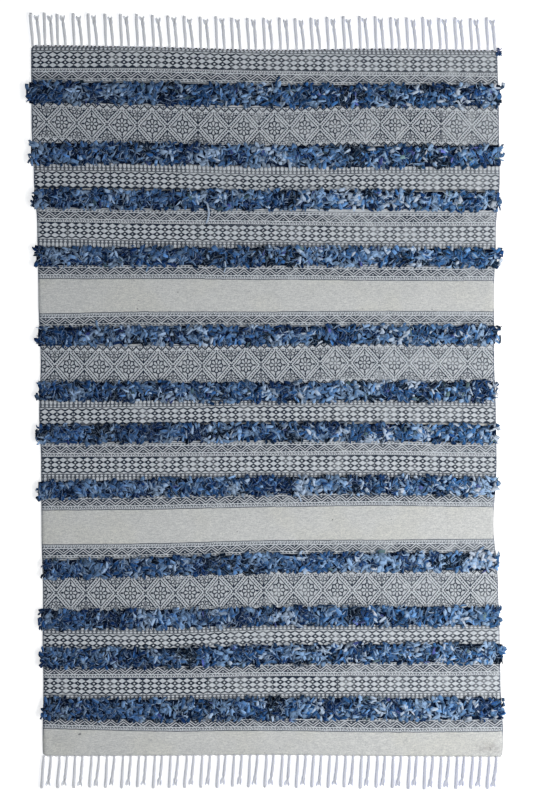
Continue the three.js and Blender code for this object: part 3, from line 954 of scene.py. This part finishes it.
def denim_piece(name, points, faces, places, dyes):
    """A piece of the pile, with each point's place on its strip and its dye."""
    mesh = bpy.data.meshes.new(name)
    mesh.from_pydata((points * MM).tolist(), [], [tuple(map(int, face)) for face in faces])
    lay_map(mesh, "strip", places)
    colours = mesh.color_attributes.new("dye", "FLOAT_COLOR", "POINT")
    colours.data.foreach_set("color", np.concatenate([dyes, np.ones((len(dyes), 1))], 1).ravel())
    mesh.polygons.foreach_set("use_smooth", [True] * len(mesh.polygons))
    mesh.materials.append(worn_denim)
    piece = bpy.data.objects.new(name, mesh)
    bpy.context.collection.objects.link(piece)
    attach(piece, "root")
    return piece


for n, row in enumerate(SHAG_ROWS, 1):
    draw = np.random.default_rng(100 + n)
    pile = clippings(row, draw)
    if any(strip["row"] == n for strip in LOOSE_STRIPS):
        pile = [np.concatenate(pair) for pair in zip(pile, loose_strips(n, draw))]
    path, roll, width, dyes = pile
    points, faces, places = strips(path, roll, width)
    dyes = np.repeat(dyes.reshape(-1, 3), 4, axis=0)
    bank_points, bank_faces = bank(row, draw)
    first = len(points)
    points = np.concatenate([points, bank_points])
    places = np.concatenate([places, np.full((len(bank_points), 2), 0.5)])
    dyes = np.concatenate([dyes, np.tile(BANK_DYE_AND_SHADE, (len(bank_points), 1))])
    every_face = faces.tolist() + [tuple(k + first for k in face) for face in bank_faces]
    shag = denim_piece(f"shag_row_{n:02d}_clippings", points, every_face, places, dyes)
    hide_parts(f"shag_row_{n:02d}")

# Corner tuft: a few short strips of the same denim. They are knotted into the cloth beside the right
# selvedge, a little below the top end.
CORNER_TUFT = {"x": 605, "y": 906, "strips": 26, "dyes": ["raw_indigo", "violet", "dark_blue"]}
draw = np.random.default_rng(7)
count = CORNER_TUFT["strips"]
s = np.linspace(0, 1, STRIP_RINGS)[None]
tuft_x = CORNER_TUFT["x"] + draw.normal(0, 1.2, count)
tuft_y = CORNER_TUFT["y"] + draw.uniform(-7, 7, count)
turn = draw.uniform(0, math.tau, (count, 1)) + s * draw.normal(0, 0.6, (count, 1))
steep = (0.9 - 1.9 * s) * draw.uniform(0.3, 0.9, (count, 1))
reach = draw.uniform(4, 8, (count, 1)) / (STRIP_RINGS - 1)
move = np.stack([np.cos(turn) * np.cos(steep), np.sin(turn) * np.cos(steep), np.sin(steep)], -1)
move = move * reach[..., None]
path = np.stack([tuft_x, tuft_y, ROW_FLOOR + draw.uniform(1, 3, count)], -1)[:, None] + np.cumsum(move, 1)
path[..., 2] = np.maximum(path[..., 2], ROW_FLOOR + 0.8)
roll = draw.normal(0, 0.4, (count, STRIP_RINGS))
width = draw.uniform(2.2, 4.0, (count, 1)) * np.ones((1, STRIP_RINGS))
tuft_dyes = [dye["dye"] for dye in DENIM_DYES if dye["name"] in CORNER_TUFT["dyes"]]
dyes = np.array(tuft_dyes)[draw.integers(0, len(tuft_dyes), count)]
points, faces, places = strips(path, roll, width)
denim_piece("corner_tuft", points, faces, places, np.repeat(dyes, STRIP_RINGS * 4, axis=0))

# Fringes: at each end the warp is knotted into a narrow heading, and its ends are twisted into
# tassels. They lie on the floor in pairs: one plain, and one whose plies have parted at its tip.
FRINGES = [
    {
        "name": "fringe_top",
        "end": TOP_END,
        "out": 1,
        "runs": [
            {"pairs": 3, "start": -608, "last": -540},
            {"pairs": 27, "start": -499, "last": 577},
        ],
        # Left and right colours: the tassels are painted darker towards the right, a painted shade against
        # the key light.
        "tassel_colours_with_painted_shade": (srgb(247, 250, 255), srgb(236, 240, 255)),
        "heading_colours_with_painted_shade": (srgb(206, 212, 222), srgb(206, 212, 222)),
        "inked_heading": True,
    },
    {
        "name": "fringe_bottom",
        "end": BOTTOM_END,
        "out": -1,
        "runs": [{"pairs": 29, "start": -578, "last": 580}],
        # Left and right colours: the tassels and heading are painted darker towards the right, a painted
        # shade against the key light.
        "tassel_colours_with_painted_shade": (srgb(244, 247, 255), srgb(208, 212, 228)),
        "heading_colours_with_painted_shade": (srgb(220, 221, 222), srgb(214, 215, 212)),
        "inked_heading": False,
    },
]
PAIR_SPACE = 19
TASSEL_LENGTH = 83
PARTED_SHORTER = 5
TASSEL_TWISTS = 4.0
PLIES = 3
PLY_SIDES = 6
PLY_RINGS = 23
PLY_REACH = 2.8
PLY_RADIUS = 2.65
PARTED_TIPS = (-7.0, 2.6, -2.3)
KNOT_SPACE = 10.4
KNOT_POINTS = 800
KNOT_RADIUS = 2.2


def tube(centres, radii, sides):
    """A closed skin round each line of centres, with each corner's place on it."""
    count, rings, _ = centres.shape
    tangent = directions(centres)
    aside = np.cross(tangent, (0, 0, 1.0))
    aside /= np.linalg.norm(aside, axis=2, keepdims=True)
    above = np.cross(aside, tangent)
    turn = np.arange(sides) * math.tau / sides
    ring = aside[:, :, None] * np.cos(turn)[:, None] + above[:, :, None] * np.sin(turn)[:, None]
    points = centres[:, :, None] + ring * radii[:, :, None, None]
    base = np.arange(count)[:, None] * rings * sides
    faces = (np.array(walls(rings, sides))[None] + base[..., None]).reshape(-1, 4).tolist()
    faces += (np.array(ends(rings, sides))[:, None] + base[None]).reshape(-1, sides).tolist()
    around = np.broadcast_to(turn / math.tau, (count, rings, sides))
    along = np.broadcast_to(lengths_along(centres), (count, rings, sides))
    return points.reshape(-1, 3), faces, np.stack([around, along], -1).reshape(-1, 2)


def tassel(root, edge, out, parted, draw):
    """One tassel's plies, from its root at the cloth's edge to its tip, as centres and radii."""
    s = np.linspace(0, 1, PLY_RINGS)
    length = TASSEL_LENGTH + HEADING_WIDTH - 1 + draw.uniform(-2, 2) - (PARTED_SHORTER if parted else 0)
    lean = (-5.5 if parted else -4.0) + draw.uniform(-1, 1)
    middle = root + lean * eased(s) + draw.uniform(-0.7, 0.7) * np.sin(s * math.tau)
    full = 0.74 + 0.26 * eased(s / 0.35) + 0.05 * eased((s - 0.6) / 0.4)
    first_turn = draw.uniform(0, math.tau)
    opens = 0.62 + draw.uniform(-0.04, 0.04)
    split = eased((s - opens) / (1 - opens)) if parted else np.zeros_like(s)
    lines, radii = [], []
    for ply in range(PLIES):
        angle = first_turn + ply * math.tau / PLIES + s * TASSEL_TWISTS * math.tau
        reach = np.cos(angle) * PLY_REACH * full * (1 - 0.8 * split) + split * PARTED_TIPS[ply]
        radius = PLY_RADIUS * full * (1 + 0.1 * split)
        height = radius + (1 + np.sin(angle)) * 1.25 * full * (1 - split) + 0.05
        y = edge + out * length * s * (1 if ply < 2 or not parted else 0.96)
        radius[-2:] *= (0.95, 0.6)
        lines.append(np.stack([middle + reach, y, height], -1))
        radii.append(radius)
    return lines, radii


def wisp(tip, out, draw):
    """A fine yarn that sticks out of a parted tassel's tip."""
    s = np.linspace(0, 1, PLY_RINGS)
    reach = draw.uniform(6.0, 9.0)
    x = tip[0] + draw.uniform(-0.8, 0.8) * s
    y = tip[1] + out * reach * (s * 1.4 - 0.4)
    return np.stack([x, y, 1.2 + 0 * s], -1), 0.75 - 0.35 * s


def fringe_lines(fringe, draw):
    """All plies and wisps of one fringe."""
    centres, radii = [], []
    end, out = fringe["end"], fringe["out"]
    level = np.array(float(end[2]))
    left, right = selvedge("left", level), selvedge("right", level)
    for run in fringe["runs"]:
        for pair in np.linspace(run["start"], run["last"], run["pairs"]):
            for parted in (False, True):
                root = pair + (PAIR_SPACE if parted else 0) + draw.uniform(-0.8, 0.8)
                edge = float(across(end, np.array((root - left) / (right - left))))
                plies, ply_radii = tassel(root, edge - out * (HEADING_WIDTH - 1), out, parted, draw)
                centres += plies
                radii += ply_radii
                if parted:
                    line, radius = wisp(plies[1][-1], out, draw)
                    centres.append(line)
                    radii.append(radius)
    return np.array(centres), np.array(radii)


def twisted_cotton(name, first, last, inked):
    """Soft twisted cotton with fine slanted yarns. Its colour runs from the first shade at the left to the
    last one at the right, a painted shade that darkens the side where the key light falls.
    """
    material = bpy.data.materials.new(name)
    material.use_nodes = True
    tree = material.node_tree
    shader = tree.nodes["Principled BSDF"]
    shader.inputs["Roughness"].default_value = 0.95
    shader.inputs["Specular IOR Level"].default_value = 0.15
    shader.inputs["Sheen Weight"].default_value = 0.15
    shader.inputs["Subsurface Weight"].default_value = 0.5
    shader.inputs["Subsurface Radius"].default_value = (1.0, 1.0, 1.0)
    shader.inputs["Subsurface Scale"].default_value = 0.004
    around, along = map_readings(tree, "yarn")
    along = along * (1 / MM)
    place = tree.nodes.new("ShaderNodeTexCoord").outputs["Object"]
    yarns = (around * 9.0 + along * 0.55).swing(1.0)
    shade = spots(tree, place, 60, 2, 0.6)
    place_split = tree.nodes.new("ShaderNodeSeparateXYZ")
    tree.links.new(place, place_split.inputs[0])
    # Painted shade: the yarn is painted darker towards the right, where the key light makes it brighter.
    painted_side_shade = blended(tree, Reading(place_split.outputs["X"]).over(0.0, 0.62), first, last)
    colour = blended(tree, shade * 0.16, painted_side_shade, srgb(206, 212, 230))
    # Painted shade: the grooves between the twisted yarns are painted darker.
    colour = blended(tree, yarns.over(0.75, 0.2) * 0.14, colour, srgb(176, 182, 202))
    if inked:
        marks = along.swing(KNOT_SPACE).over(0.42, 0.15) * spots(tree, place, 90, 2, 0.6).over(0.33, 0.1)
        colour = blended(tree, marks * 0.95, colour, srgb(24, 32, 44))
    tree.links.new(colour, shader.inputs["Base Color"])
    raise_yarns(shader, yarns.flipped() + spots(tree, place, 800, 1, 0.5), 0.0004)
    return material


for fringe in FRINGES:
    name = fringe["name"]
    draw = np.random.default_rng(40 + fringe["out"])
    centres, radii = fringe_lines(fringe, draw)
    points, faces, places = tube(centres, radii, PLY_SIDES)
    # The heading: a row of small knots along the cloth's end.
    t = np.linspace(0.003, 0.997, KNOT_POINTS)
    knot_x, knot_y = on_cloth(t, fringe["end"][2])
    bulge = 0.7 + 0.3 * np.abs(np.sin(knot_x * math.pi / KNOT_SPACE)) + draw.normal(0, 0.02, len(t))
    knot_y = knot_y - fringe["out"] * (1.9 - 0.9 * (bulge - 0.7) / 0.3)
    knot_line = np.stack([knot_x, knot_y, 2.3 * bulge], -1)[None]
    knot_points, knot_faces, knot_places = tube(knot_line, (KNOT_RADIUS * bulge)[None], PLY_SIDES)
    first = len(points)
    mesh = bpy.data.meshes.new(name + "_twists")
    mesh.from_pydata(
        (np.concatenate([points, knot_points]) * MM).tolist(),
        [],
        faces + [[k + first for k in face] for face in knot_faces],
    )
    lay_map(mesh, "yarn", np.concatenate([places, knot_places]))
    mesh.polygons.foreach_set("use_smooth", [True] * len(mesh.polygons))
    mesh.polygons.foreach_set("material_index", [0] * len(faces) + [1] * len(knot_faces))
    tassels = twisted_cotton(name + "_cotton", *fringe["tassel_colours_with_painted_shade"], False)
    heading = twisted_cotton(name + "_knots", *fringe["heading_colours_with_painted_shade"], fringe["inked_heading"])
    mesh.materials.append(tassels)
    mesh.materials.append(heading)
    twists = bpy.data.objects.new(name + "_twists", mesh)
    bpy.context.collection.objects.link(twists)
    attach(twists, "root")
    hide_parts(name)
